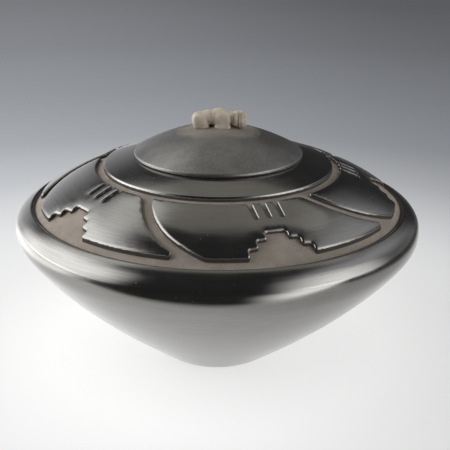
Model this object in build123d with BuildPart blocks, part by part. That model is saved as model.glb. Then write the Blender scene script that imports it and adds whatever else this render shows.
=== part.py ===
"""A lidded jar of polished black pueblo pottery, 230 mm across, standing on its foot.

The jar is one coiled and fired wall. Its shoulder carries a band in relief: polished
lobes stand above a matte carved ground, between the rim and the collar of the mouth.
The lid is a low dome whose locating ring drops into the mouth, and a small clay bear
on top is its handle.

Millimetres, +Z up. The origin is the middle of the foot, on the surface it stands on.
"""

import math
import os

from build123d import *

# Jar wall
jar_radius = 115.0
widest_height = 80.0
foot_radius = 33.0
foot_round = 1.5
rim_inset = 8.7
rim_rise = 11.4
rim_round = 0.8
jar_wall = 6.0
floor_thickness = 8.0
inside_round = 12.0
step_wall = 6.7

# Collar and mouth
seat_height = 118.7
seat_inset = 1.1
collar_radius = 64.4
collar_drop = 4.8
collar_round = 1.1
mouth_radius = 37.0
mouth_round = 1.0
neck_depth = 7.8
neck_round = 3.0

# Carved band between the rim and the collar
ledge_width = 3.0
ledge_drop = 1.0
step_run = 1.2
step_drop = 3.0
ground_crown = 2.3
lobe_proud = 0.5
lobe_crown = 2.0
lobe_count = 5
outer_gap = 2.5
inner_gap = 3.4
lobe_root = 2.0
band_turn = 20.0

# Channels between the lobes, and the motifs cut into each lobe, as shares of its width
channel_width_share = 0.151
channel_run_share = 1.583
head_round_share = 0.41
shoulder_round_share = 0.189
tip_round_share = 0.041
edge_round_share = 0.0188
terrace_width_share = 1.07
terrace_rise_share = 0.12
terrace_steps = 3
rain_line_width_share = 0.07
rain_line_length_share = 0.345
rain_line_spacing_share = 0.22
rain_line_count = 3

# Lid
lid_radius = 47.5
lid_edge_height = 1.9
lid_rise = 16.4
lid_wall = 5.0
lid_edge_round = 0.8
ring_clearance = 0.7
ring_wall = 5.0
ring_depth = 7.0
ring_round = 1.0

# Bear handle
bear_length = 30.5
bear_width = 15.0
bear_height = 9.9
bear_shift = 1.0

overrun = 5.0
near_share = 1e-5
quarter_turn = 90.0

# How far round its sweep a channel has come halfway out
channel_bow_share = 0.33
# Points of the jar's wall from foot to rim: (radius, height), each as a share of the
# way from the foot to the widest circle
lower_wall_shares = ((0.372, 0.291), (0.699, 0.586), (0.926, 0.841))
# The point between the widest circle and the rim, as shares of the way to the rim
upper_wall_share = (0.30, 0.645)
foot_slope_share = 0.735
rim_slope_share = 0.46
# How full the lid's dome is: its two curve handles, as shares of its radius and rise
dome_shares = ((0.727, 0.50), (0.348, 1.0))

# The bear's masses: (centre, half size), each along its length, across and up, as shares
# of the bear's length, width and height. The far legs mirror the near ones
body_shares = (
    ((-0.31, 0.02, 0.44), (0.195, 0.40, 0.425)),
    ((-0.13, 0.02, 0.50), (0.240, 0.37, 0.390)),
    ((0.01, 0.01, 0.53), (0.185, 0.38, 0.470)),
    ((0.18, 0.02, 0.47), (0.150, 0.31, 0.330)),
)
head_shares = (
    ((0.36, 0.06, 0.43), (0.143, 0.29, 0.420)),
    ((0.37, 0.28, 0.24), (0.085, 0.18, 0.220)),
    ((0.39, 0.08, 0.14), (0.100, 0.27, 0.260)),
    ((0.285, 0.06, 0.79), (0.038, 0.07, 0.095)),
    ((0.435, 0.06, 0.79), (0.038, 0.07, 0.095)),
)
leg_shares = (
    ((-0.37, 0.25, 0.28), (0.132, 0.22, 0.430)),
    ((-0.30, 0.33, 0.03), (0.150, 0.16, 0.160)),
    ((0.03, 0.27, 0.33), (0.140, 0.22, 0.500)),
    ((0.05, 0.38, 0.00), (0.140, 0.15, 0.150)),
)

os.makedirs("parts", exist_ok=True)


def between(start, end, shares):
    """The point at those shares of the way from start to end, in radius and height."""
    return tuple(a + (b - a) * share for a, b, share in zip(start, end, shares))


def crowned(start, end, crown):
    """The middle point of an arc from start to end that rises crown above its chord."""
    run = math.hypot(end[0] - start[0], end[1] - start[1])
    middle = ((start[0] + end[0]) / 2, (start[1] + end[1]) / 2)
    outward = ((end[1] - start[1]) / run, (start[0] - end[0]) / run)
    return middle[0] + outward[0] * crown, middle[1] + outward[1] * crown


def polar(radius, angle):
    """The point at that radius and angle in degrees, seen from above."""
    return radius * math.cos(math.radians(angle)), radius * math.sin(math.radians(angle))


rim_radius = jar_radius - rim_inset
rim_height = widest_height + rim_rise
collar_height = seat_height - collar_drop
seat_radius = lid_radius - seat_inset
ground_outer_radius = rim_radius - ledge_width
ground_outer_height = rim_height - ledge_drop
ground_inner_radius = collar_radius + step_run
ground_inner_height = collar_height - step_drop
lobe_outer_radius = ground_outer_radius - outer_gap
lobe_inner_radius = ground_inner_radius + inner_gap
lobe_width = lobe_outer_radius - lobe_inner_radius
lobe_middle_radius = (lobe_inner_radius + lobe_outer_radius) / 2
channel_width = channel_width_share * lobe_width
channel_sweep = math.degrees(channel_run_share * lobe_width / lobe_middle_radius)
tip_round = tip_round_share * lobe_width
lobe_edge_round = edge_round_share * lobe_width
terrace_width = terrace_width_share * lobe_width
terrace_rise = terrace_rise_share * lobe_width
rain_line_width = rain_line_width_share * lobe_width
rain_line_length = rain_line_length_share * lobe_width
rain_line_spacing = rain_line_spacing_share * lobe_width

foot = (foot_radius, 0)
widest = (jar_radius, widest_height)
rim = (rim_radius, rim_height)
collar = (collar_radius, collar_height)
ground_outer = (ground_outer_radius, ground_outer_height)
ground_inner = (ground_inner_radius, ground_inner_height)
lower_points = [between(foot, widest, shares) for shares in lower_wall_shares]
upper_point = between(widest, rim, upper_wall_share)
lobe_rim = (rim_radius, rim_height + lobe_proud)
root_outer = (ground_outer_radius, ground_outer_height - lobe_root)
root_inner = (ground_inner_radius, ground_inner_height - lobe_root)
neck_foot = (mouth_radius, seat_height - neck_depth)
lid_edge = (lid_radius, seat_height + lid_edge_height)
lid_top = (0, seat_height + lid_rise)
dome_handles = [
    (out * lid_radius, lid_edge[1] + up * (lid_rise - lid_edge_height))
    for out, up in dome_shares
]
ring_radius = mouth_radius - ring_clearance
hollow_edge = (ring_radius - ring_wall, seat_height)
hollow_top = (0, lid_top[1] - lid_wall)
bear_size = (bear_length, bear_width, bear_height)
pitch = 360 / lobe_count
motif_angle = (channel_sweep + pitch) / 2


def wall_outline():
    """The jar's outside, foot to seat, with the carved ground between rim and collar."""
    with BuildLine() as outline:
        Line((0, 0), foot)
        Spline(
            [foot, *lower_points, widest, upper_point, rim],
            tangents=[(1, foot_slope_share), (-1, rim_slope_share)],
        )
        Line(rim, ground_outer)
        ThreePointArc(
            ground_outer, crowned(ground_outer, ground_inner, ground_crown), ground_inner
        )
        Polyline(ground_inner, collar, (seat_radius, seat_height), (0, seat_height), (0, 0))
    return outline.line


def inside_outline():
    """The jar's inside, one wall in from the outside, up to the neck."""
    lean = math.degrees(math.atan(foot_slope_share))
    inner_foot = (
        foot_radius - jar_wall * math.sin(math.radians(lean)),
        jar_wall * math.cos(math.radians(lean)),
    )
    inner_widest = (jar_radius - jar_wall, widest_height)
    inner_points = [between(inner_foot, inner_widest, shares) for shares in lower_wall_shares]
    under_rim = (ground_outer_radius - jar_wall, ground_outer_height - jar_wall / 2)
    under_step = (ground_inner_radius, ground_inner_height - step_wall)
    with BuildLine() as outline:
        Spline(
            [inner_foot, *inner_points, inner_widest, under_rim],
            tangents=[(1, foot_slope_share), (-1, foot_slope_share)],
        )
        ThreePointArc(under_rim, under_step, neck_foot)
        Polyline(
            neck_foot,
            (mouth_radius, seat_height + overrun),
            (0, seat_height + overrun),
            (0, inner_foot[1]),
            inner_foot,
        )
    return outline.line


def corner(sketch, place):
    """The sketch's vertex nearest to that place."""
    return sketch.vertices().sort_by_distance(Vector(*place))[0]


def on_circle(sketch, radius):
    """The sketch's vertices that lie on the circle of that radius round the axis."""
    return sketch.vertices().filter_by(
        lambda place: math.isclose(math.hypot(place.X, place.Y), radius, rel_tol=near_share)
    )


# Everything turned on the wheel's axis is drawn on the XZ plane: radius, height
with BuildSketch(Plane.XZ) as inside_section:
    with BuildLine():
        add(inside_outline())
    make_face()
    Rectangle(jar_radius, floor_thickness, align=Align.MIN, mode=Mode.SUBTRACT)
    fillet(corner(inside_section, (foot_radius, floor_thickness)), inside_round)
    fillet(corner(inside_section, neck_foot), neck_round)

with BuildPart() as jar:
    with BuildSketch(Plane.XZ) as wall_section:
        with BuildLine():
            add(wall_outline())
        make_face()
        fillet(corner(wall_section, foot), foot_round)
        fillet(corner(wall_section, rim), rim_round)
        fillet(corner(wall_section, collar), collar_round)
        add(inside_section.sketch_local, mode=Mode.SUBTRACT)
        fillet(corner(wall_section, (mouth_radius, seat_height)), mouth_round)
    revolve(axis=Axis.Z)

# The channel between two lobes, seen from above: it runs out past the lobes at both ends
with BuildSketch() as channel:
    with BuildLine():
        Spline(
            polar(lobe_inner_radius - channel_width, 0),
            polar(lobe_middle_radius, channel_sweep * channel_bow_share),
            polar(lobe_outer_radius + channel_width, channel_sweep),
        )
    trace(line_width=channel_width)

# Steps that cut in from a lobe's outer edge, drawn with that edge on the Y axis
with BuildSketch() as terrace:
    for step in range(terrace_steps):
        rise = terrace_rise * (step + 1)
        width = terrace_width * (terrace_steps - step) / terrace_steps
        with Locations((overrun, 0)):
            Rectangle(rise + overrun, width, align=(Align.MAX, Align.CENTER))
    fillet([place for place in terrace.vertices() if place.X < overrun / 2], tip_round)

# Short lines that fall from a lobe's inner edge, with that edge on the Y axis
with BuildSketch() as rain:
    with GridLocations(0, rain_line_spacing, 1, rain_line_count):
        SlotCenterToCenter(2 * rain_line_length - rain_line_width, rain_line_width)

with BuildSketch() as ring_of_lobes:
    Circle(lobe_outer_radius)
    Circle(lobe_inner_radius, mode=Mode.SUBTRACT)
    with PolarLocations(0, lobe_count):
        add(channel.sketch, mode=Mode.SUBTRACT)

with BuildSketch() as lobe_outline:
    add(ring_of_lobes.faces().sort_by_distance(polar(lobe_outer_radius, motif_angle))[0])
    round_corners = [
        (lobe_outer_radius, channel_sweep, head_round_share * lobe_width),
        (lobe_outer_radius, channel_sweep + pitch, tip_round),
        (lobe_inner_radius, 0, tip_round),
        (lobe_inner_radius, pitch, shoulder_round_share * lobe_width),
    ]
    for radius, angle, corner_round in round_corners:
        fillet(corner(lobe_outline, polar(radius, angle)), corner_round)
    terrace_base = math.sqrt(lobe_outer_radius**2 - (terrace_width / 2) ** 2)
    motifs = [
        (lobe_outer_radius, terrace_base, terrace.sketch, 2),
        (lobe_inner_radius, lobe_inner_radius, rain.sketch, 2 * rain_line_count),
    ]
    for radius, base, motif, mouth_corners in motifs:
        with PolarLocations(base, 1, start_angle=motif_angle):
            add(motif, mode=Mode.SUBTRACT)
        mouth = on_circle(lobe_outline, radius).sort_by_distance(polar(radius, motif_angle))
        fillet(mouth[:mouth_corners], tip_round)

# One lobe: its outline carried up to the crowned surface that all the lobes share
with BuildPart() as lobe:
    with BuildSketch(Plane.XZ):
        with BuildLine():
            lobe_top = ThreePointArc(lobe_rim, crowned(lobe_rim, collar, lobe_crown), collar)
            lobe_bottom = ThreePointArc(
                root_outer, crowned(root_outer, root_inner, ground_crown), root_inner
            )
            Line(lobe_top @ 1, lobe_bottom @ 1)
            Line(lobe_top @ 0, lobe_bottom @ 0)
        make_face()
    revolve(axis=Axis.Z)
    with BuildSketch(Plane.XY.offset(root_outer[1])):
        add(lobe_outline.sketch)
    extrude(amount=collar_height, mode=Mode.INTERSECT)
    lobe_face = lobe.faces().sort_by(SortBy.AREA)[-2:].sort_by(Axis.Z)[-1]
    fillet(lobe_face.edges(), lobe_edge_round)

with BuildPart() as carved_jar:
    add(jar.part)
    with PolarLocations(0, lobe_count, start_angle=band_turn):
        add(lobe.part)

# The lid: a low dome on the collar, flat underneath, with a shallow hollow inside
with BuildSketch(Plane.XZ) as dome_section:
    with BuildLine():
        Bezier(lid_edge, *dome_handles, lid_top)
        Polyline(lid_top, (0, seat_height), (lid_radius, seat_height), lid_edge)
    make_face()
    fillet(corner(dome_section, lid_edge), lid_edge_round)
    fillet(corner(dome_section, (lid_radius, seat_height)), lid_edge_round)

with BuildPart() as lid:
    with BuildSketch(Plane.XZ):
        add(dome_section.sketch_local)
        with BuildLine():
            TangentArc(hollow_top, hollow_edge, tangent=(1, 0))
            Polyline(hollow_top, (0, seat_height), hollow_edge)
        make_face(mode=Mode.SUBTRACT)
    revolve(axis=Axis.Z)

# The locating ring under the lid, which keeps it centred in the mouth
with BuildPart() as locating_ring:
    with BuildSketch(Plane.XY.offset(seat_height)):
        Circle(ring_radius)
        Circle(ring_radius - ring_wall, mode=Mode.SUBTRACT)
    extrude(amount=-ring_depth)
    fillet(locating_ring.edges().group_by(Axis.Z)[0], ring_round)


def mass(centre_shares, half_shares, side):
    """One rounded mass of the bear, on its near side (1) or its far side (-1)."""
    along, across, up = (share * size for share, size in zip(centre_shares, bear_size))
    stretch = tuple(share * size / bear_height for share, size in zip(half_shares, bear_size))
    # The ball's poles lie along the bear, where its masses run into each other
    ball = Solid.make_sphere(bear_height).rotate(Axis.Y, quarter_turn)
    ball = scale(ball, by=stretch, mode=Mode.PRIVATE)
    return ball.moved(Location((bear_shift + along, -side * across, lid_top[1] + up)))


# The bear: rounded masses worked into each other, its feet cut to the dome they stand on
with BuildPart() as bear:
    for centre_shares, half_shares in body_shares + head_shares:
        add(mass(centre_shares, half_shares, 1))
    for centre_shares, half_shares in leg_shares:
        for side in (1, -1):
            add(mass(centre_shares, half_shares, side))
    with BuildSketch(Plane.XZ):
        add(dome_section.sketch_local)
    revolve(axis=Axis.Z, mode=Mode.SUBTRACT)

pieces = {
    "jar": carved_jar,
    "lid": lid,
    "locating_ring": locating_ring,
    "bear_handle": bear,
}
for name, piece in pieces.items():
    piece.part.label = name
    export_step(piece.part, f"parts/{name}.step")
    print(name, "solids:", len(piece.solids()), "volume:", round(piece.part.volume), "mm3")
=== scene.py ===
# %% [markdown]
# A lidded jar of polished black pueblo pottery
#
# The real jar is coiled clay, scraped thin, carved while it is leather hard, rubbed with
# a smooth stone until it shines, and fired in smoke that turns it black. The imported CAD
# model gives every size. This lesson dresses it: a jar with softly worked carving, a
# small clay bear, and the finishes that tell polished clay from bare clay.

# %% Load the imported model
import math

import bmesh
import bpy
from mathutils import Matrix, Vector, noise
from mathutils.kdtree import KDTree


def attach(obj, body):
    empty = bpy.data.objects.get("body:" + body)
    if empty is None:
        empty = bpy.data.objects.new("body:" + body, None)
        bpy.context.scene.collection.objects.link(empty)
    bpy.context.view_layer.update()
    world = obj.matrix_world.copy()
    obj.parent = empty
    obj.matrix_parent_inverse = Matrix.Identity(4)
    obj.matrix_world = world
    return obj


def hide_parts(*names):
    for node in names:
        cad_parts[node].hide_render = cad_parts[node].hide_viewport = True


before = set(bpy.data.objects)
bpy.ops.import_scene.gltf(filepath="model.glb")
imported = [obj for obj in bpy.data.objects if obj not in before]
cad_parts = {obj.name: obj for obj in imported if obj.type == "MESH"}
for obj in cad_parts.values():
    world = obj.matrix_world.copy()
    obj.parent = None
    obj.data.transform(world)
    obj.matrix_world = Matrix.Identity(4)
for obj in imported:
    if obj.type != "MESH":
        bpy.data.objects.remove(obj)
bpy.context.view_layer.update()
mm = 0.001

# %% [markdown]
# The camera comes first, because every later choice is judged through it. It looks down
# at the jar from about 21 degrees with a long lens, as a studio camera would, so the
# mouth's circle is a flat ellipse and the near side is hardly larger than the far side.

# %% Camera
lift = math.radians(20.73)
roll = math.radians(0.549)
away, aim_height = 0.56925, 0.0688
frame_pixels = 450
camera = bpy.data.objects.new("camera", bpy.data.cameras.new("camera"))
bpy.context.scene.collection.objects.link(camera)
bpy.context.scene.camera = camera
camera.matrix_world = (
    Matrix.Translation((0.0, -away * math.cos(lift), aim_height + away * math.sin(lift)))
    @ Matrix.Rotation(math.pi / 2 - lift, 4, "X")
    @ Matrix.Rotation(roll, 4, "Z")
)
camera.data.lens = 77.93
camera.data.sensor_width = 36
camera.data.shift_x = 7.5 / frame_pixels
camera.data.shift_y = 10.6 / frame_pixels
print("camera", round(camera.location.length, 3), "m from the foot")

# %% [markdown]
# Small helpers. An operator acts on whatever is selected, so each step starts by
# selecting nothing, and then only what it is about to shape.

# %% Selecting
def nothing():
    """Object mode, with nothing selected."""
    if bpy.context.object and bpy.context.object.mode != "OBJECT":
        bpy.ops.object.mode_set(mode="OBJECT")
    bpy.ops.object.select_all(action="DESELECT")


def only(*pieces):
    """Selects these pieces alone. The first one is the active one."""
    nothing()
    for piece in pieces:
        piece.select_set(True)
    bpy.context.view_layer.objects.active = pieces[0]


def edit(piece, kind="VERT"):
    """Opens a piece in edit mode with nothing in it selected."""
    only(piece)
    bpy.ops.object.mode_set(mode="EDIT")
    bpy.ops.mesh.select_mode(type=kind)
    bpy.ops.mesh.select_all(action="DESELECT")


def pick(piece, kind, wanted):
    """In edit mode, selects each vertex, edge or face that is wanted, and counts them."""
    mesh = bmesh.from_edit_mesh(piece.data)
    parts = {"VERT": mesh.verts, "EDGE": mesh.edges, "FACE": mesh.faces}[kind]
    found = [part for part in parts if wanted(part)]
    for part in found:
        part.select_set(True)
    bmesh.update_edit_mesh(piece.data)
    return len(found)


# %% [markdown]
# An outline is drawn as a Bezier curve. Each station is a point, the direction in which
# the line arrives there and the direction in which it leaves, in degrees. Where either
# is None, the line runs straight to its neighbour. A handle of c / (3 cos^2(turn / 4))
# on a chord c turns the curve as a circle would.

# %% Drawing outlines
def heading(start, end):
    """The direction from one point to another, in degrees."""
    return math.degrees(math.atan2(end[1] - start[1], end[0] - start[0]))


def beyond(point, angle, distance):
    """The point at that distance from another in that direction."""
    return (
        point[0] + distance * math.cos(math.radians(angle)),
        point[1] + distance * math.sin(math.radians(angle)),
    )


def rounded(point, arriving, leaving, radius):
    """Two stations that take a corner in an arc of that radius."""
    turn = (leaving - arriving + 180) % 360 - 180
    back = radius * math.tan(math.radians(abs(turn) / 2))
    return [
        (beyond(point, arriving, -back), arriving, arriving),
        (beyond(point, leaving, back), leaving, leaving),
    ]


def draw(name, stations, place, cyclic=False, steps=8):
    """Draws the line through the stations, in mm, and makes it a mesh of edges."""
    nothing()
    bpy.ops.curve.primitive_bezier_curve_add()
    curve = bpy.context.object
    curve.name = name
    spline = curve.data.splines[0]
    spline.bezier_points.add(len(stations) - 2)
    spline.use_cyclic_u = cyclic
    for point, (spot, _, _) in zip(spline.bezier_points, stations):
        point.handle_left_type = point.handle_right_type = "FREE"
        point.co = point.handle_left = point.handle_right = place(spot)
    runs = len(stations) if cyclic else len(stations) - 1
    for i in range(runs):
        (start, _, leaving), (end, arriving, _) = stations[i], stations[(i + 1) % len(stations)]
        chord = math.dist(start, end)
        leaving = heading(start, end) if leaving is None else leaving
        arriving = heading(start, end) if arriving is None else arriving
        turn = (arriving - leaving + 180) % 360 - 180
        handle = chord / (3 * math.cos(math.radians(turn / 4)) ** 2)
        spline.bezier_points[i].handle_right = place(beyond(start, leaving, handle))
        after = spline.bezier_points[(i + 1) % len(stations)]
        after.handle_left = place(beyond(end, arriving, -handle))
    curve.data.resolution_u = steps
    bpy.ops.object.convert(target="MESH")
    line = bpy.context.object
    line.name = name
    print(name, "is a line of", len(line.data.vertices), "points")
    return line


# %% [markdown]
# The jar's wall. On the real jar it is one skin of clay: a small foot, a belly that flares
# almost straight, a tight shoulder, a sunken band for the carving, a collar and the mouth.
# It could be sculpted, but it was turned by hand about one axis, so its section is drawn
# once and spun. The section's points are the CAD model's own, in mm of radius and height.

# %% Section of the wall
outside = [
    ((0.0, 0.0), None, None),
    *rounded((33.0, 0.0), 0.0, 36.3, 1.5),
    ((63.5, 23.28), 39.0, 39.0),
    ((90.3, 46.88), 44.2, 44.2),
    ((108.9, 67.28), 51.6, 51.6),
    ((114.95, 80.0), 90.0, 90.0),
    ((112.4, 87.35), 130.1, 130.1),
    *rounded((106.3, 91.4), 155.3, 198.4, 1.3),
    *rounded((103.3, 90.4), 198.4, 139.2, 0.7),
    *rounded((64.95, 111.1), 163.7, 101.1, 0.5),
    *rounded((64.4, 113.9), 101.1, 162.8, 0.6),
    ((46.4, 118.7), 167.4, None),
]
inside = [
    *rounded((37.0, 118.7), 180.0, 270.0, 1.0),
    *rounded((37.0, 110.9), 270.0, 353.5, 3.0),
    ((97.3, 87.4), 323.9, 323.9),
    ((109.0, 80.0), 291.6, 291.6),
    ((103.1, 68.05), 230.4, 230.4),
    ((85.05, 48.9), 223.1, 223.1),
    ((59.04, 26.7), 218.0, 218.0),
    *rounded((33.8, 8.0), 216.6, 180.0, 12.0),
    ((0.0, 8.0), None, None),
]
jar = draw("jar_wall", outside + inside, lambda p: (p[0] * mm, 0.0, p[1] * mm), steps=10)

# %% Spin the section
turns = 288
weld = 0.02 * mm
edit(jar)
bpy.ops.mesh.select_all(action="SELECT")
bpy.ops.mesh.spin(steps=turns, angle=math.tau, center=(0, 0, 0), axis=(0, 0, 1))
bpy.ops.mesh.select_all(action="SELECT")
bpy.ops.mesh.remove_doubles(threshold=weld)
bpy.ops.mesh.normals_make_consistent(inside=False)
nothing()
print("wall faces:", len(jar.data.polygons))

# %% [markdown]
# The carved band. The lobes are what is left standing where the ground was cut away, so
# their tops all lie on one crowned surface, 2 to 3 mm above the ground. One lobe is drawn
# flat, seen from above, given its thickness and softened edges, and then draped over
# that surface. Its steps stand for mesas and its three short lines for rain: motifs that
# pueblo potters have long shared.

# %% Outline of a lobe
outer, inner = 100.8, 69.0
motif_turn = 53.0
tip = 1.3


def polar(radius, angle):
    """The point at that radius and angle, seen from above."""
    return beyond((0.0, 0.0), angle, radius)


def motif(out, across):
    """The point that far out from the axis and across the middle of the motifs."""
    return beyond(polar(out, motif_turn), motif_turn + 90.0, across)


def along_arc(radius, start, end, count):
    """Stations along an arc round the axis."""
    side = 90.0 if end > start else -90.0
    angles = [start + (end - start) * i / (count - 1) for i in range(count)]
    return [(polar(radius, a), a + side, a + side) for a in angles]


# The steps cut in from the outer edge
rise, tread, steps = 3.82, 5.67, 3
half = tread * steps
mouth = math.sqrt(outer**2 - half**2)
swing = math.degrees(math.asin(half / outer))
terrace = rounded(motif(mouth, -half), motif_turn - swing + 90.0, motif_turn + 180.0, tip)
for i in range(steps):
    spot = motif(mouth - rise * (i + 1), -half + tread * i)
    terrace += rounded(spot, motif_turn + 180.0, motif_turn + 90.0, tip)
    if i < steps - 1:
        spot = motif(mouth - rise * (i + 1), -half + tread * (i + 1))
        terrace += rounded(spot, motif_turn + 90.0, motif_turn + 180.0, tip)
for i in reversed(range(steps)):
    spot = motif(mouth - rise * (i + 1), half - tread * i)
    terrace += rounded(spot, motif_turn + 90.0, motif_turn, tip)
    if i:
        spot = motif(mouth - rise * i, half - tread * i)
        terrace += rounded(spot, motif_turn, motif_turn + 90.0, tip)
terrace += rounded(motif(mouth, half), motif_turn, motif_turn + swing + 90.0, tip)

# The rain lines cut out from the inner edge
rain = []
line_half, line_end, line_pitch = 1.1, 78.9, 7.0
for across in (line_pitch, 0.0, -line_pitch):
    near, far = across + line_half, across - line_half
    turned = motif_turn + math.degrees(math.asin(across / inner))
    rain += rounded(motif(math.sqrt(inner**2 - near**2), near), turned - 90.0, motif_turn, tip)
    rain += [(motif(line_end, near), motif_turn, motif_turn)]
    rain += [(motif(line_end, far), motif_turn + 180.0, motif_turn + 180.0)]
    rain += rounded(
        motif(math.sqrt(inner**2 - far**2), far), motif_turn + 180.0, turned - 90.0, tip
    )

lobe_line = [
    (polar(71.0, 5.5), 36.4, 36.4),
    (polar(88.6, 16.5), 68.0, 68.0),
    (polar(99.7, 29.1), 97.2, 97.2),
    *along_arc(outer, 32.2, 41.2, 2),
    *terrace,
    *along_arc(outer, 65.5, 92.2, 4),
    (polar(98.3, 92.5), 335.3, 335.3),
    (polar(87.0, 82.4), 309.0, 309.0),
    (polar(71.6, 73.3), 286.1, 286.1),
    *along_arc(inner, 69.4, 61.8, 2),
    *rain,
    *along_arc(inner, 43.8, 6.4, 5),
]
lobe = draw("lobe", lobe_line, lambda p: (p[0] * mm, p[1] * mm, 0.0), cyclic=True, steps=6)

# %% Thickness and a softened edge
lobe_depth = 5.0 * mm
edge_round = 0.85 * mm
edit(lobe, "EDGE")
bpy.ops.mesh.select_all(action="SELECT")
bpy.ops.mesh.edge_face_add()
bpy.ops.mesh.extrude_region_move(TRANSFORM_OT_translate={"value": (0.0, 0.0, -lobe_depth)})
bpy.ops.mesh.select_all(action="SELECT")
bpy.ops.mesh.normals_make_consistent(inside=False)
bpy.ops.mesh.select_all(action="DESELECT")
count = pick(lobe, "EDGE", lambda e: all(v.co.z > -lobe_depth / 2 for v in e.verts))
bpy.ops.mesh.bevel(
    offset=edge_round, segments=5, profile=0.5, affect="EDGES", clamp_overlap=False
)
nothing()
print("bevelled edges:", count, "faces:", len(lobe.data.polygons))

# %% [markdown]
# Draping needs points inside the lobe's wide top face, so that face is cut by a grid of
# planes. Then every point is lifted to the crowned surface, less a gentle fall towards
# the lobe's outline, where rubbing with the stone has worn it round.

# %% Cut the top into a grid
spacing, level_slack = 1.8 * mm, 0.01 * mm
spots = [v.co for v in lobe.data.vertices]
left_front = [min(spot[axis] for spot in spots) for axis in range(2)]
right_back = [max(spot[axis] for spot in spots) for axis in range(2)]
edit(lobe, "FACE")
for axis, normal in enumerate(((1, 0, 0), (0, 1, 0))):
    for i in range(1, int((right_back[axis] - left_front[axis]) / spacing) + 1):
        bpy.ops.mesh.select_all(action="DESELECT")
        pick(lobe, "FACE", lambda f: all(v.co.z > -level_slack for v in f.verts))
        at = [0.0, 0.0, 0.0]
        at[axis] = left_front[axis] + i * spacing
        bpy.ops.mesh.bisect(plane_co=at, plane_no=normal)
nothing()
print("faces after the cuts:", len(lobe.data.polygons))

# %% Drape the lobe
crown_middle, crown_radius = (20.744, -20.146), 140.976
fall, fall_width = 0.35, 7.0


def crown(radius):
    """Height of the crowned surface at that distance from the axis, in mm."""
    return crown_middle[1] + math.sqrt(crown_radius**2 - (radius - crown_middle[0]) ** 2)


under_round = -edge_round * 0.9
edge_points = [v.co.xy.to_3d() for v in lobe.data.vertices if v.co.z < under_round]
outline = KDTree(len(edge_points))
for i, point in enumerate(edge_points):
    outline.insert(point, i)
outline.balance()
for vertex in lobe.data.vertices:
    flat = vertex.co.xy.to_3d()
    inwards = outline.find(flat)[2] / mm
    worn = fall * max(0.0, 1.0 - inwards / fall_width) ** 2
    vertex.co.z += (crown(flat.length / mm) - worn) * mm
print("crown at the rim and the collar:", round(crown(106.3), 2), round(crown(64.4), 2))

# %% Copy it round the band
lobe_count, first_turn = 5, 20.0
lobes = [lobe]
for i in range(1, lobe_count):
    only(lobe)
    bpy.ops.object.duplicate()
    lobes.append(bpy.context.object)
for i, piece in enumerate(lobes):
    only(piece)
    piece.rotation_euler.z = math.radians(first_turn + i * 360.0 / lobe_count)
    bpy.ops.object.transform_apply(location=False, rotation=True, scale=False)
only(*lobes)
bpy.ops.object.join()
band = bpy.context.object
band.name = "carved_lobes"
print("lobes joined:", len(band.data.polygons), "faces")

# %% [markdown]
# The lobes are the same clay as the wall, so the two are made one skin. A hand-built jar
# is never quite true: slow, shallow hollows left by the scraper and the stone bend its
# reflections. They go in last, over the whole skin, and only ever inwards.

# %% One skin of clay
union = jar.modifiers.new("lobes", "BOOLEAN")
union.operation = "UNION"
union.solver = "EXACT"
union.object = band
only(jar)
bpy.ops.object.modifier_apply(modifier=union.name)
bpy.data.objects.remove(band)
print("jar faces:", len(jar.data.polygons))

# %% Slow hollows, each a depth and a width in mm, kept off the mouth and the foot
hollows = [(0.10, 34.0), (0.03, 11.0)]
mouth_side, foot_side, downwards = 40.0, 2.0, 0.35
deepest = 0.0
for vertex in jar.data.vertices:
    spot = vertex.co / mm
    out = spot.xy.length
    if out > mouth_side and spot.z > foot_side:
        hollow = sum(depth * (1.0 + noise.noise(spot / width)) for depth, width in hollows)
        vertex.co -= Vector((spot.x, spot.y, downwards * out)).normalized() * hollow * mm
        deepest = max(deepest, hollow)
print("deepest hollow in mm:", round(deepest, 2))

# %% Clean and smooth the skin
sliver, crisp = 0.001 * mm, math.radians(38)
edit(jar, "FACE")
bpy.ops.mesh.select_all(action="SELECT")
bpy.ops.mesh.dissolve_degenerate(threshold=sliver)
nothing()
only(jar)
bpy.ops.object.shade_smooth_by_angle(angle=crisp)
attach(jar, "jar")
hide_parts("jar")
print("jar_wall stands for the jar with", len(jar.data.polygons), "faces")

# %% [markdown]
# The bear. On the real lid it is a small lump of clay, pinched and carved into a crouching
# bear that serves as the handle. Clay is worked by adding lumps and blending them, so it
# is made that way here: rounded lumps are joined, a voxel remesh melts them into one skin,
# and smoothing wipes the joins. Creases are then pressed in with small moves of points.

# %% Lumps of clay
# Each lump is (middle, half size) in mm, along the bear, across it and up from the lid's top
lid_top = 135.1
body_lumps = [
    ((-8.9, 0.0, 3.7), (6.2, 5.7, 4.0)),
    ((-4.8, 0.0, 4.4), (6.8, 5.2, 4.3)),
    ((0.8, 0.0, 5.2), (5.6, 5.6, 4.55)),
    ((6.4, -0.2, 4.6), (4.8, 4.6, 3.4)),
    ((11.3, -0.8, 4.5), (4.6, 4.3, 4.1)),
    ((12.9, -3.0, 2.3), (2.9, 2.9, 2.9)),
    ((9.0, -1.8, 2.4), (2.6, 3.0, 2.6)),
    ((9.4, -2.3, 7.3), (1.2, 1.5, 1.0)),
    ((13.4, -2.0, 7.6), (1.4, 1.6, 1.0)),
]
leg_lumps = [
    ((-10.3, -3.7, 3.0), (4.3, 3.0, 4.1)),
    ((-9.6, -4.3, 0.2), (4.3, 1.7, 1.7)),
    ((1.9, -3.4, 3.6), (4.6, 3.3, 5.2)),
    ((2.2, -4.7, 0.0), (4.7, 2.3, 2.2)),
]
far_legs = [((along, -across, up), size) for (along, across, up), size in leg_lumps]
squareness = 0.18
balls = []
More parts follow.
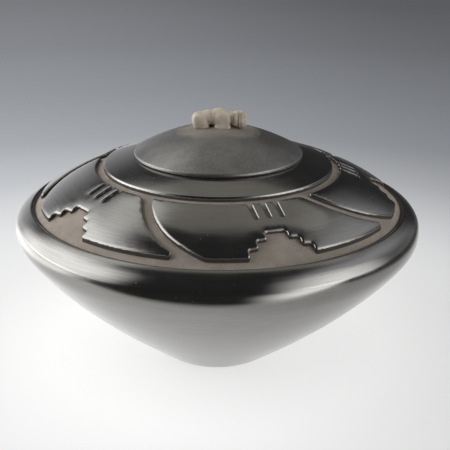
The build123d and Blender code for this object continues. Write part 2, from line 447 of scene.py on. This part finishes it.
for middle, half_size in body_lumps + leg_lumps + far_legs:
    nothing()
    bpy.ops.mesh.primitive_uv_sphere_add(segments=40, ring_count=24, radius=1.0)
    ball = bpy.context.object
    for vertex in ball.data.vertices:
        squared = vertex.co * (1.0 - squareness + squareness / max(abs(c) for c in vertex.co))
        vertex.co = [(m + c * h) * mm for m, c, h in zip(middle, squared, half_size)]
        vertex.co.z += lid_top * mm
    balls.append(ball)
only(*balls)
bpy.ops.object.join()
bear = bpy.context.object
bear.name = "clay_bear"
print("lumps:", len(balls), "points:", len(bear.data.vertices))

# %% Blend them into one skin
melt = bear.modifiers.new("melt", "REMESH")
melt.mode = "VOXEL"
melt.voxel_size = 0.30 * mm
wipe = bear.modifiers.new("wipe", "SMOOTH")
wipe.factor, wipe.iterations = 0.5, 12
for modifier in (melt, wipe):
    bpy.ops.object.modifier_apply(modifier=modifier.name)
print("bear faces:", len(bear.data.polygons))

# %% Press in the creases
# Each crease is a line of points (along, up), its width, and its depth, less than 0 for a
# ridge. It is pressed in from both flanks, so it fades out over the bear's back.
creases = [
    ([(-2.9, 1.0), (-2.6, 5.0), (-2.9, 8.8)], 0.45, -0.30),
    ([(-3.9, 1.0), (-3.6, 5.0), (-3.9, 8.6)], 0.55, 0.35),
    ([(-4.8, 0.6), (-5.7, 2.6), (-7.4, 5.0), (-9.8, 7.2)], 0.70, 0.42),
    ([(6.9, 0.5), (7.1, 3.0), (6.4, 5.8)], 0.70, 0.60),
    ([(9.6, 1.0), (9.4, 4.5), (9.7, 7.6)], 0.50, -0.45),
    ([(8.3, 0.4), (8.2, 3.0), (8.4, 6.8)], 0.50, 0.55),
    ([(10.9, 0.4), (10.8, 4.0), (11.1, 7.6)], 0.55, 0.95),
    ([(12.5, 0.4), (12.4, 4.0), (12.3, 7.4)], 0.45, 0.70),
]
crease_reach, flank_gain = 3, 1.5
unevenness, lump_size = 0.05, 1.6
dome_curve, sunk_base = 0.00785, 0.35


def to_line(point, line):
    """Distance from a point to a line of points."""
    nearest = math.inf
    for start, end in zip(line, line[1:]):
        run = Vector(end) - Vector(start)
        share = min(1.0, max(0.0, (point - Vector(start)).dot(run) / run.length_squared))
        nearest = min(nearest, (point - Vector(start) - run * share).length)
    return nearest


def dome(radius):
    """Height of the lid's dome near its top, at that distance from the axis, in mm."""
    return lid_top - dome_curve * radius**2


normals = [vertex.normal.copy() for vertex in bear.data.vertices]
for vertex, normal in zip(bear.data.vertices, normals):
    spot = vertex.co / mm
    seen = Vector((spot.x, spot.z - lid_top))
    move = unevenness * noise.noise(spot / lump_size)
    flank = min(1.0, abs(normal.y) * flank_gain)
    for line, width, depth in creases:
        near = to_line(seen, line)
        if near < crease_reach * width:
            move -= depth * math.exp(-((near / width) ** 2)) * flank
    spot += normal * move
    spot.z = max(spot.z, dome(spot.xy.length) - sunk_base)
    vertex.co = spot * mm
only(bear)
bpy.ops.object.shade_smooth()
for limit in (min, max):
    reach = [limit(v.co[axis] for v in bear.data.vertices) / mm for axis in range(3)]
    print("bear's", limit.__name__, "in mm:", [round(c, 1) for c in reach])
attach(bear, "lid")
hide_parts("bear_handle")

# %% [markdown]
# Finishes. Polished clay is smooth, dark and reflects like graphite; carved clay was never
# rubbed, so it stays a dull taupe. Effects that several finishes share are node groups:
# each is built once, reads Object coordinates, and puts out only masks and heights.

# %% Placing nodes
def put(tree, kind, inputs=None, **settings):
    """Adds a node, sets its properties, and fills or links its inputs."""
    node = tree.nodes.new(kind)
    for key, value in settings.items():
        setattr(node, key, value)
    for key, value in (inputs or {}).items():
        if isinstance(value, bpy.types.NodeSocket):
            tree.links.new(value, node.inputs[key])
        else:
            node.inputs[key].default_value = value
    return node


def place_of(tree):
    """Object coordinates, and their three parts."""
    place = put(tree, "ShaderNodeTexCoord").outputs["Object"]
    return place, put(tree, "ShaderNodeSeparateXYZ", {0: place}).outputs


# %% Reckoning with numbers
def reckon(tree, operation, *values, clamp=False):
    """One Math node's result."""
    inputs = dict(enumerate(values))
    return put(tree, "ShaderNodeMath", inputs, operation=operation, use_clamp=clamp).outputs[0]


def plus(tree, one, two, clamp=False):
    """One number added to another."""
    return reckon(tree, "ADD", one, two, clamp=clamp)


def minus(tree, one, two):
    """One number less another."""
    return reckon(tree, "SUBTRACT", one, two)


def times(tree, one, two):
    """One number times another."""
    return reckon(tree, "MULTIPLY", one, two)


def times_plus(tree, one, two, three, clamp=False):
    """One number times another, and a third added."""
    return reckon(tree, "MULTIPLY_ADD", one, two, three, clamp=clamp)


def ramp(tree, value, low, high, to_low=0.0, to_high=1.0):
    """A value's range spread smoothly over another."""
    inputs = {0: value, 1: low, 2: high, 3: to_low, 4: to_high}
    node = put(tree, "ShaderNodeMapRange", inputs, interpolation_type="SMOOTHSTEP")
    return node.outputs[0]


def spread(tree, value, to_low=0.0, to_high=1.0):
    """A noise spread over a range. Noises here seldom leave 0.3 to 0.7."""
    return ramp(tree, value, 0.3, 0.7, to_low, to_high)


# %% Reckoning with colours and places
def blend(tree, mask, one, two):
    """One colour where the mask is 0 and the other where it is 1."""
    node = put(tree, "ShaderNodeMix", {0: mask, 6: one, 7: two}, data_type="RGBA")
    return node.outputs[2]


def noise_of(tree, place, scale, detail=2.0, rough=0.5):
    """A soft noise at that scale, in features per metre."""
    inputs = {"Vector": place, "Scale": scale, "Detail": detail, "Roughness": rough}
    return put(tree, "ShaderNodeTexNoise", inputs).outputs[0]


def stretched(tree, place, shares):
    """A place with each of its three parts multiplied by its own share."""
    inputs = {0: place, 1: shares}
    return put(tree, "ShaderNodeVectorMath", inputs, operation="MULTIPLY").outputs[0]


def length_of(tree, place):
    """How far a place is from the origin."""
    return put(tree, "ShaderNodeVectorMath", {0: place}, operation="LENGTH").outputs[1]


def dimmed(tree, colour, share):
    """A colour multiplied by a number that changes over the surface."""
    node = put(tree, "ShaderNodeVectorMath", {0: colour}, operation="SCALE")
    tree.links.new(share, node.inputs["Scale"])
    return node.outputs[0]


# %% Making and using node groups
def group(name, inputs, outputs):
    """A node group with named number inputs and outputs."""
    tree = bpy.data.node_groups.new(name, "ShaderNodeTree")
    kind = "NodeSocketFloat"
    for label, value in inputs.items():
        socket = tree.interface.new_socket(label, in_out="INPUT", socket_type=kind)
        socket.default_value = value
    for label in outputs:
        tree.interface.new_socket(label, in_out="OUTPUT", socket_type=kind)
    print("group", name, "takes", list(inputs), "and gives", outputs)
    given = tree.nodes.new("NodeGroupInput").outputs
    return tree, given, tree.nodes.new("NodeGroupOutput").inputs


def use(tree, shared, **inputs):
    """Places a group in a material with its own values."""
    node = put(tree, "ShaderNodeGroup", node_tree=shared)
    for label, value in inputs.items():
        node.inputs[label].default_value = value
    return node.outputs


# %% [markdown]
# The polishing stone is drawn round the jar, so it leaves fine lines that run round the
# axis. A noise that hardly changes along the way round, and quickly across it, gives them:
# it is read at the direction from the axis, the height and the distance from the axis.

# %% Shared: the stone's strokes
strokes, given, result = group("burnish strokes", {"Fineness": 900.0, "Length": 6.0}, ["Strokes"])
axis_gap = 2.0 * mm
place, (x, y, z) = place_of(strokes)
radius = reckon(strokes, "SQRT", plus(strokes, times(strokes, x, x), times(strokes, y, y)))
safe = reckon(strokes, "MAXIMUM", radius, axis_gap)
across = times(strokes, reckon(strokes, "DIVIDE", x, safe), given["Length"])
along = times(strokes, reckon(strokes, "DIVIDE", y, safe), given["Length"])
level = times(strokes, z, given["Fineness"])
spot = put(strokes, "ShaderNodeCombineXYZ", {0: across, 1: along, 2: level}).outputs[0]
reach = times(strokes, radius, given["Fineness"])
lines = put(
    strokes,
    "ShaderNodeTexNoise",
    {"Vector": spot, "W": reach, "Scale": 1.0, "Detail": 2.0, "Roughness": 0.6},
    noise_dimensions="4D",
)
strokes.links.new(lines.outputs[0], result["Strokes"])

# %% [markdown]
# Clay is never even. Grains of its temper drop out and leave pits, so a cell pattern picks
# a few of its cells and puts a round speck in each. Bare clay is mottled too, finely by its
# grain and broadly by the smoke, and a noise for each is enough.

# %% Shared: pits and specks in the clay
speck_edge, speck_core = 0.32, 0.12
specks, given, result = group("specks", {"Scale": 700.0, "Share": 0.08}, ["Specks"])
place, _ = place_of(specks)
cell_inputs = {"Vector": place, "Scale": given["Scale"], "Randomness": 1.0}
cells = put(specks, "ShaderNodeTexVoronoi", cell_inputs)
chance = put(specks, "ShaderNodeSeparateColor", {0: cells.outputs["Color"]}).outputs[0]
chosen = reckon(specks, "LESS_THAN", chance, given["Share"])
core = ramp(specks, cells.outputs["Distance"], speck_edge, speck_core)
specks.links.new(times(specks, chosen, core), result["Specks"])

# %% Shared: the mottled grain of bare clay
cloud_scale = 60.0
grain, given, result = group("clay grain", {"Scale": 900.0}, ["Grain", "Cloud"])
place, _ = place_of(grain)
fine = noise_of(grain, place, 1.0, 4.0, 0.65)
grain.links.new(given["Scale"], fine.node.inputs["Scale"])
grain.links.new(fine, result["Grain"])
grain.links.new(noise_of(grain, place, cloud_scale, 3.0, 0.6), result["Cloud"])

# %% [markdown]
# Where the band was carved away. The potter polishes the whole shoulder first and carves
# after, so the shine stops where the knife went in: everything in the band that lies more
# than a little under the crowned surface is bare, the lobes' walls as well as the ground.

# %% Shared: the carved part of the band
ground_middle, ground_radius = (37.188, 13.735), 101.234
band_inner, band_outer, band_foot = 64.1 * mm, 104.9 * mm, 88.5 * mm
knife_slips, edge_blur = 0.8, 0.2
wall_starts, wall_full = 0.05, 0.4
carved, given, result = group("carved ground", {"Depth": 1.0}, ["Bare", "Wall"])
place, (x, y, z) = place_of(carved)
radius = length_of(carved, stretched(carved, place, (1.0, 1.0, 0.0)))


def height_over(middle, arc_radius):
    """How far a point is above an arc turned about the axis, in mm."""
    offset = reckon(carved, "POWER", minus(carved, radius, middle[0] * mm), 2.0)
    rise = reckon(carved, "SQRT", minus(carved, (arc_radius * mm) ** 2, offset))
    surface = plus(carved, rise, middle[1] * mm)
    return reckon(carved, "DIVIDE", minus(carved, z, surface), mm)


uneven = minus(carved, noise_of(carved, place, 420.0, 3.0, 0.6), 0.5)
sunk = times_plus(carved, uneven, knife_slips, height_over(crown_middle, crown_radius))
sunk = plus(carved, sunk, given["Depth"])
outside_collar = reckon(carved, "GREATER_THAN", radius, band_inner)
inside_rim = reckon(carved, "LESS_THAN", radius, band_outer)
band_only = times(carved, outside_collar, inside_rim)
band_only = times(carved, band_only, reckon(carved, "GREATER_THAN", z, band_foot))
bare = times(carved, ramp(carved, sunk, edge_blur, -edge_blur), band_only)
carved.links.new(bare, result["Bare"])
# The Wall mask marks the carving's walls, where the finishes paint shade
over_ground = height_over(ground_middle, ground_radius)
standing = ramp(carved, over_ground, wall_starts, wall_full)
carved.links.new(times(carved, bare, standing), result["Wall"])
print("shared effects:", [g.name for g in bpy.data.node_groups])

# %% [markdown]
# Polished and bare clay in one finish. Polished clay is nearly all reflection, so it is
# given as a dark metal, with fine lines and a few pits to break the shine. The carved
# group turns the gloss off, and the carved walls get painted shade: a near-black colour
# that stands for the shadow in the cuts.

# %% Starting and joining a finish
def finish_of(name):
    """A new material, its tree and its Principled shader."""
    material = bpy.data.materials.new(name)
    material.use_nodes = True
    return material, material.node_tree, material.node_tree.nodes["Principled BSDF"]


def connect(tree, shader, **sockets):
    """Links results to the shader's inputs, named with _ for a space."""
    for label, value in sockets.items():
        tree.links.new(value, shader.inputs[label.replace("_", " ")])


def bumped(tree, height, distance, under=None):
    """A Bump node's normal for a height, in metres at full height."""
    inputs = {"Strength": 1.0, "Distance": distance, "Height": height}
    if under:
        inputs["Normal"] = under
    return put(tree, "ShaderNodeBump", inputs).outputs[0]


def toned(colour, share):
    """A colour made lighter or darker."""
    return tuple(c * share for c in colour[:3]) + (1,)


# %% Burnished black clay
bare_dark, bare_light = (0.265, 0.228, 0.192, 1), (0.36, 0.312, 0.265, 1)
# The walls of the carving are painted near-black, a painted shade for the shadow in the cuts
painted_wall_shade, wall_shade_share = (0.036, 0.029, 0.024, 1), 0.95
polished_metal, bare_rough, pit_rough = 0.97, 0.78, 0.15
streak_contrast = 0.065
broad_relief, fine_relief, grain_relief = 0.008 * mm, 0.02 * mm, 0.28 * mm


def polished_clay(name, sheen, rough, bare_depth):
    """Burnished black clay, left bare where the carved ground group says."""
    material, tree, shader = finish_of(name)
    clay = use(tree, grain, Scale=1100.0)
    rubbed = use(tree, strokes, Fineness=1500.0, Length=5.0)["Strokes"]
    broad = use(tree, strokes, Fineness=260.0, Length=3.0)["Strokes"]
    pits = use(tree, specks, Scale=620.0, Share=0.035)["Specks"]
    cut = use(tree, carved, Depth=bare_depth)
    bare = cut["Bare"]

    # The bare ground has two tones, by grain and cloud, and its walls are painted a near-black
    # shade for the shadow in the cuts
    mottle = ramp(tree, times_plus(tree, clay["Grain"], 0.35, clay["Cloud"]), 0.5, 0.85)
    dull = blend(tree, mottle, bare_dark, bare_light)
    dull = blend(tree, times(tree, cut["Wall"], wall_shade_share), dull, painted_wall_shade)

    # The shine is a little darker and lighter along the strokes
    streak = times_plus(tree, spread(tree, rubbed), 0.5, clay["Cloud"])
    darker, lighter = toned(sheen, 1 - streak_contrast), toned(sheen, 1 + streak_contrast)
    shine = blend(tree, ramp(tree, streak, 0.45, 1.05), darker, lighter)

    # It is rougher across the strokes, in the clouds and in the pits, and roughest bare
    polish = spread(tree, rubbed, rough - 0.015, rough + 0.02)
    polish = plus(tree, polish, ramp(tree, clay["Cloud"], 0.35, 0.65, -0.02, 0.03))
    polish = plus(tree, polish, times(tree, pits, pit_rough))
    coarse = times(tree, bare, bare_rough - rough)

    # Broad strokes lie under fine ones and pits, and the grain stands out where it is bare
    marks = bumped(tree, ramp(tree, broad, 0.25, 0.75), broad_relief)
    marks = bumped(tree, minus(tree, times(tree, rubbed, 0.06), pits), fine_relief, marks)
    connect(
        tree,
        shader,
        Base_Color=blend(tree, bare, shine, dull),
        Metallic=times_plus(tree, bare, -polished_metal, polished_metal),
        Roughness=plus(tree, polish, coarse, clamp=True),
        Normal=bumped(tree, times(tree, clay["Grain"], bare), grain_relief, marks),
    )
    shader.inputs["Specular IOR Level"].default_value = 0.4
    return material


jar_clay = polished_clay("polished_black_clay", (0.218, 0.213, 0.203), 0.155, 1.05)
print(jar_clay.name, "has", len(jar_clay.node_tree.nodes), "nodes")

# %% [markdown]
# Bare clay: the bear, the ring under the lid and the inside of the jar. One flat colour
# would look like plastic. Clay that was only scraped shows its grain, paler patches and
# dark pits, so noises mix two tones, and the grain drives the roughness and the bump too.

# %% Bare clay
bare_relief, pit_share, pit_tone = 0.22 * mm, 0.4, 0.5


def bare_clay(name, dark, light, rough):
    """Clay that was never rubbed: dull, mottled and finely grained."""
    material, tree, shader = finish_of(name)
    clay = use(tree, grain, Scale=1300.0)
    pits = use(tree, specks, Scale=900.0, Share=0.07)["Specks"]
    patches = noise_of(tree, place_of(tree)[0], 180.0, 3.0)
    mottle = times_plus(tree, clay["Grain"], 0.4, patches)
    colour = blend(tree, ramp(tree, mottle, 0.5, 0.9), dark, light)
    connect(
        tree,
        shader,
        Base_Color=blend(tree, times(tree, pits, pit_share), colour, toned(dark, pit_tone)),
        Roughness=spread(tree, clay["Grain"], rough - 0.06, rough + 0.08),
        Normal=bumped(tree, minus(tree, clay["Grain"], pits), bare_relief),
    )
    shader.inputs["Specular IOR Level"].default_value = 0.3
    return material


inside_clay = bare_clay(
    "bare_inside_clay", (0.030, 0.028, 0.026, 1), (0.046, 0.043, 0.040, 1), 0.8
)
# The bear's tones are about twice as light as its real clay: painted light that makes up for the
# little light the lamps give it
bear_clay = bare_clay(
    "bare_bear_clay", (0.455, 0.395, 0.310, 1), (0.595, 0.525, 0.425, 1), 0.72
)
ring_clay = bare_clay(
    "bare_ring_clay", (0.060, 0.056, 0.051, 1), (0.085, 0.079, 0.072, 1), 0.78
)
bear.data.materials.clear()
bear.data.materials.append(bear_clay)
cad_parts["locating_ring"].data.materials[0] = ring_clay
print("bare clays:", [clay.name for clay in (inside_clay, bear_clay, ring_clay)])

# %% The jar's inside is bare
# An inside face looks towards the jar's heart, and lies well under the band's crown
jar.data.materials.clear()
jar.data.materials.append(jar_clay)
jar.data.materials.append(inside_clay)
heart = Vector((0.0, 0.0, 0.075))
skin = 5.0
for face in jar.data.polygons:
    under_crown = crown(face.center.xy.length / mm) - face.center.z / mm
    if face.normal.dot(face.center - heart) < 0 and under_crown > skin:
        face.material_index = 1
print("bare faces inside:", sum(face.material_index for face in jar.data.polygons))

# %% [markdown]
# The lid's dome is softer in gloss than the jar: it was rubbed lightly, and round the bear
# the stone could not reach, so the shine fades out into bare clay in a ragged patch. Its
# flat underside was never rubbed either.

# %% Lid finish
patch_shape, patch_core, patch_end = (0.72, 1.0, 0.0), 8.5 * mm, 21.5 * mm
patch_floor, underside, raggedness = 131.0 * mm, 118.9 * mm, 16.0 * mm
patch_dark, patch_light = (0.215, 0.188, 0.160, 1), (0.300, 0.262, 0.224, 1)
satin_dark, satin_light = (0.168, 0.164, 0.157, 1), (0.256, 0.251, 0.242, 1)
satin_metal, satin_rough, bare_rougher = 0.85, (0.37, 0.45), 0.36
satin_grain, bare_grain, lid_relief = 0.16, 0.7, 0.2 * mm
lid_clay, tree, shader = finish_of("satin_lid_clay")
clay = use(tree, grain, Scale=1000.0)
rubbed = use(tree, strokes, Fineness=1300.0, Length=7.0)["Strokes"]
pits = use(tree, specks, Scale=700.0, Share=0.03)["Specks"]
place, (x, y, z) = place_of(tree)
from_top = length_of(tree, stretched(tree, place, patch_shape))
uneven = minus(tree, noise_of(tree, place, 260.0, 4.0, 0.6), 0.5)
ragged = times_plus(tree, uneven, raggedness, from_top)
near_bear = ramp(tree, ragged, patch_end, patch_core)
near_bear = times(tree, near_bear, reckon(tree, "GREATER_THAN", z, patch_floor))
bare = reckon(tree, "MAXIMUM", near_bear, reckon(tree, "LESS_THAN", z, underside))
leathery = ramp(tree, times_plus(tree, clay["Grain"], 0.8, clay["Cloud"]), 0.65, 1.15)
shine = blend(tree, leathery, satin_dark, satin_light)
dull = blend(tree, clay["Cloud"], patch_dark, patch_light)
satin = spread(tree, rubbed, *satin_rough)
marks = bumped(tree, minus(tree, times(tree, rubbed, 0.08), pits), fine_relief)
relief = times(tree, clay["Grain"], times_plus(tree, bare, bare_grain, satin_grain))
connect(
    tree,
    shader,
    Base_Color=blend(tree, bare, shine, dull),
    Metallic=times_plus(tree, bare, -satin_metal, satin_metal),
    Roughness=times_plus(tree, bare, bare_rougher, satin, clamp=True),
    Normal=bumped(tree, relief, lid_relief, marks),
)
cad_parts["lid"].data.materials[0] = lid_clay
print("finishes:", [material.name for material in bpy.data.materials if material.use_nodes])

# %% [markdown]
# The jar stands on pale paper that falls away into a blue grey. The paper's own colour
# makes that fade, by distance from the jar and a little by side, so that the jar can be
# seen from anywhere with the same ground under it.

# %% Paper: what the eye sees
nothing()
bpy.ops.mesh.primitive_circle_add(vertices=96, radius=4.0, fill_type="NGON")
paper = bpy.context.object
paper.name = "paper"
pale, tree, shader = finish_of("pale_paper")
tree.nodes.remove(shader)
place, (x, y, z) = place_of(tree)
distance = length_of(tree, place)
fade_reach = 2.0
stops = [
    (0.05, (0.95, 0.95, 0.945)),
    (0.08, (0.81, 0.815, 0.81)),
    (0.115, (0.72, 0.728, 0.733)),
    (0.18, (0.495, 0.509, 0.530)),
    (0.243, (0.370, 0.385, 0.412)),
    (0.36, (0.300, 0.314, 0.339)),
    (0.535, (0.226, 0.235, 0.254)),
    (0.80, (0.180, 0.184, 0.198)),
]
shades = put(tree, "ShaderNodeValToRGB", {0: reckon(tree, "DIVIDE", distance, fade_reach)})
fade = shades.color_ramp
fade.interpolation = "LINEAR"
while len(fade.elements) < len(stops):
    fade.elements.new(0.5)
for element, (at, colour) in zip(fade.elements, stops):
    element.position = at
    element.color = (*colour, 1)

# The left is a little paler and the right darker, less so by the camera and by the jar
side = ramp(tree, x, -0.5, 0.5, 0.08, -0.42)
side = times(tree, side, ramp(tree, y, -0.30, -0.05, 0.3, 1.0))
side = times_plus(tree, side, ramp(tree, distance, 0.1, 0.5, 0.25, 1.0), 1.0)
tone = dimmed(tree, shades.outputs[0], side)
print("the paper fades in", len(fade.elements), "stops over", fade_reach, "m")

# %% [markdown]
# What the polished clay sees is another matter. Its reflections read as a table whose front
# and left edges are near the jar, with darkness beyond them and the lamps reaching down
# past them. So for reflected rays alone the paper is shown as that: without it the
# shoulder would lose its dark band and the two long highlights beside it.

# %% Paper: the table in reflections
left_edge, front_edge, front_skew = (-0.30, -0.20), (-0.190, -0.125), 0.25
back_begins, right_begins = (0.15, 0.40), (0.22, 0.42)
table_left = ramp(tree, x, *left_edge)
right_x = reckon(tree, "MAXIMUM", x, 0.0)
table_front = ramp(tree, times_plus(tree, right_x, front_skew, y), *front_edge)
on_table = times(tree, table_left, table_front)
# In reflections the table is painted lighter on the left and darker on the right: a painted
# reflection of the lamps' light on it
far_tone = ramp(tree, x, -0.4, 0.1, 0.95, 0.11)
far_back = reckon(tree, "MAXIMUM", ramp(tree, y, *back_begins), ramp(tree, x, *right_begins))
near_tone = times(tree, ramp(tree, x, -0.3, 0.25, 1.25, 0.78), minus(tree, 1.0, far_back))
near_tone = times_plus(tree, far_tone, far_back, near_tone)
print("the table's front edge fades out at y =", front_edge, "m")

# %% Paper: the lamps' feet in reflections
# Each foot is painted light on the paper, glowing for reflected rays only, between two turns
# round the jar, in radians from the camera's side
left_foot, left_starts, left_ends = 2.6, (-2.60, -2.10), (-0.95, -1.45)
right_foot, right_starts, right_ends = 2.9, (0.15, 0.65), (1.65, 0.95)
darkness = 0.04
turn = reckon(tree, "ARCTAN2", x, times(tree, y, -1.0))
left_side = times(tree, ramp(tree, turn, *left_starts), ramp(tree, turn, *left_ends))
lean = minus(tree, turn, ramp(tree, distance, 0.2, 0.9, 0.0, 0.27))
right_side = times(tree, ramp(tree, lean, *right_starts), ramp(tree, turn, *right_ends))
off_table = times_plus(tree, right_side, right_foot, darkness)
off_table = times_plus(tree, left_side, left_foot, off_table)
behind = times(tree, ramp(tree, y, 0.1, 0.4), far_tone)
off_table = reckon(tree, "MAXIMUM", off_table, behind)
mirrored = blend(tree, on_table, off_table, near_tone)
print("the lamps' feet shine at", left_foot, "and", right_foot)

# %% [markdown]
# The paper is lit by the lamps near the jar, where it has to hold a shadow, and shines by
# itself farther off, where the lamps' own planes would else draw lines across it.

# %% Paper: light and shadow
rays = put(tree, "ShaderNodeLightPath").outputs
shown = blend(tree, rays["Is Glossy Ray"], tone, mirrored)
seen = reckon(tree, "MAXIMUM", rays["Is Camera Ray"], rays["Is Glossy Ray"])
lit_zone = (0.3, 0.75)
lit_share = ramp(tree, distance, *lit_zone, 0.5, 0.0)
own_share = times(tree, seen, ramp(tree, distance, *lit_zone, 0.72, 1.0))
lit = put(tree, "ShaderNodeBsdfDiffuse", {"Color": dimmed(tree, shown, lit_share)}).outputs[0]
own = put(tree, "ShaderNodeEmission", {"Color": shown, "Strength": own_share}).outputs[0]
both = put(tree, "ShaderNodeAddShader", {0: lit, 1: own}).outputs[0]
tree.links.new(both, tree.nodes["Material Output"].inputs["Surface"])
paper.data.materials.append(pale)
print("paper nodes:", len(tree.nodes))

# %% [markdown]
# Four soft lamps: large ones left and right of the jar, a smaller one behind its left
# shoulder and a warm one above and behind. A polished jar is drawn by what it reflects, so
# their sizes and soft edges matter more than their power.

# %% Lamps
aim = Vector((0.0, 0.0, 0.09))


def soft_lamp(name, azimuth, elevation, distance, width, height, brightness, soft, colour):
    """An area lamp that faces the jar. Azimuth 0 is the camera's side, 90 its right.

    Its brightness falls to nothing over the outer part of it that soft gives.
    """
    data = bpy.data.lights.new(name, "AREA")
    data.shape = "RECTANGLE"
    data.size, data.size_y = width, height
    data.energy = brightness * math.pi * width * height
    data.color = colour
    lamp = bpy.data.objects.new(name, data)
    bpy.context.scene.collection.objects.link(lamp)
    a, e = math.radians(azimuth), math.radians(elevation)
    towards = Vector((math.sin(a) * math.cos(e), -math.cos(a) * math.cos(e), math.sin(e)))
    lamp.location = aim + towards * distance
    lamp.rotation_euler = towards.to_track_quat("Z", "Y").to_euler()
    data.use_nodes = True
    tree = data.node_tree
    at = put(tree, "ShaderNodeNewGeometry").outputs["Parametric"]
    inputs = {0: at, 1: (0.5, 0.5, 0.0)}
    off = put(tree, "ShaderNodeVectorMath", inputs, operation="SUBTRACT").outputs[0]
    off = length_of(tree, stretched(tree, off, (2.0, 2.0, 0.0)))
    strength = tree.nodes["Emission"].inputs["Strength"]
    tree.links.new(ramp(tree, off, 1.0, 1.0 - soft), strength)


# Name, azimuth, elevation, distance, width, height, brightness, soft share, colour
white, warm = (1.0, 1.0, 1.0), (1.0, 0.96, 0.86)
lamps = [
    ("left_lamp", -91.5, 17, 1.0, 2.15, 2.3, 3.45, 0.75, white),
    ("back_left_lamp", -131.5, 48, 1.0, 0.9, 0.8, 1.0, 0.6, white),
    ("right_lamp", 64, 4, 1.2, 2.1, 3.1, 2.7, 0.95, white),
    ("top_lamp", 180, 63, 1.1, 1.45, 0.78, 0.435, 0.12, warm),
]
for settings in lamps:
    soft_lamp(*settings)
print("lamps:", [lamp.name for lamp in bpy.data.lights])

# %% [markdown]
# The room. It is nearly dark, with a little light low behind on the left and a paler wall
# on the right, which the shoulder and the collar pick up. The camera sees it plain.

# %% Room
room_light = 0.04
room_dark, room_pale = (0.0, 0.0, 0.0, 1), (0.98, 0.99, 1.03, 1)
room_plain = (0.180, 0.184, 0.198, 1)
world = bpy.data.worlds.new("room")
bpy.context.scene.world = world
world.use_nodes = True
tree = world.node_tree
direction = put(tree, "ShaderNodeTexCoord").outputs["Generated"]
x, y, z = put(tree, "ShaderNodeSeparateXYZ", {0: direction}).outputs

# Low behind, and only on the left
low_back = times(tree, ramp(tree, y, 0.2, 0.8), ramp(tree, z, 0.6, 0.0))
low_back = times(tree, low_back, ramp(tree, x, -0.5, 0.1, 0.9, 0.0))

# On the right, paler higher up, and ending before the middle of the back and the ceiling
right_wall = times(tree, ramp(tree, x, 0.3, 0.7), ramp(tree, y, -0.6, 0.0))
right_wall = times(tree, right_wall, ramp(tree, z, 0.2, 0.7, 0.25, 0.90))
right_wall = times(tree, right_wall, ramp(tree, y, 0.88, 0.72))
right_wall = times(tree, right_wall, ramp(tree, z, 0.97, 0.85))

room = plus(tree, plus(tree, low_back, right_wall), room_light)
room = blend(tree, room, room_dark, room_pale)
from_camera = put(tree, "ShaderNodeLightPath").outputs["Is Camera Ray"]
room = blend(tree, from_camera, room, room_plain)
tree.links.new(room, tree.nodes["Background"].inputs["Color"])
bpy.context.scene.view_settings.view_transform = "Standard"
print("room nodes:", len(tree.nodes))
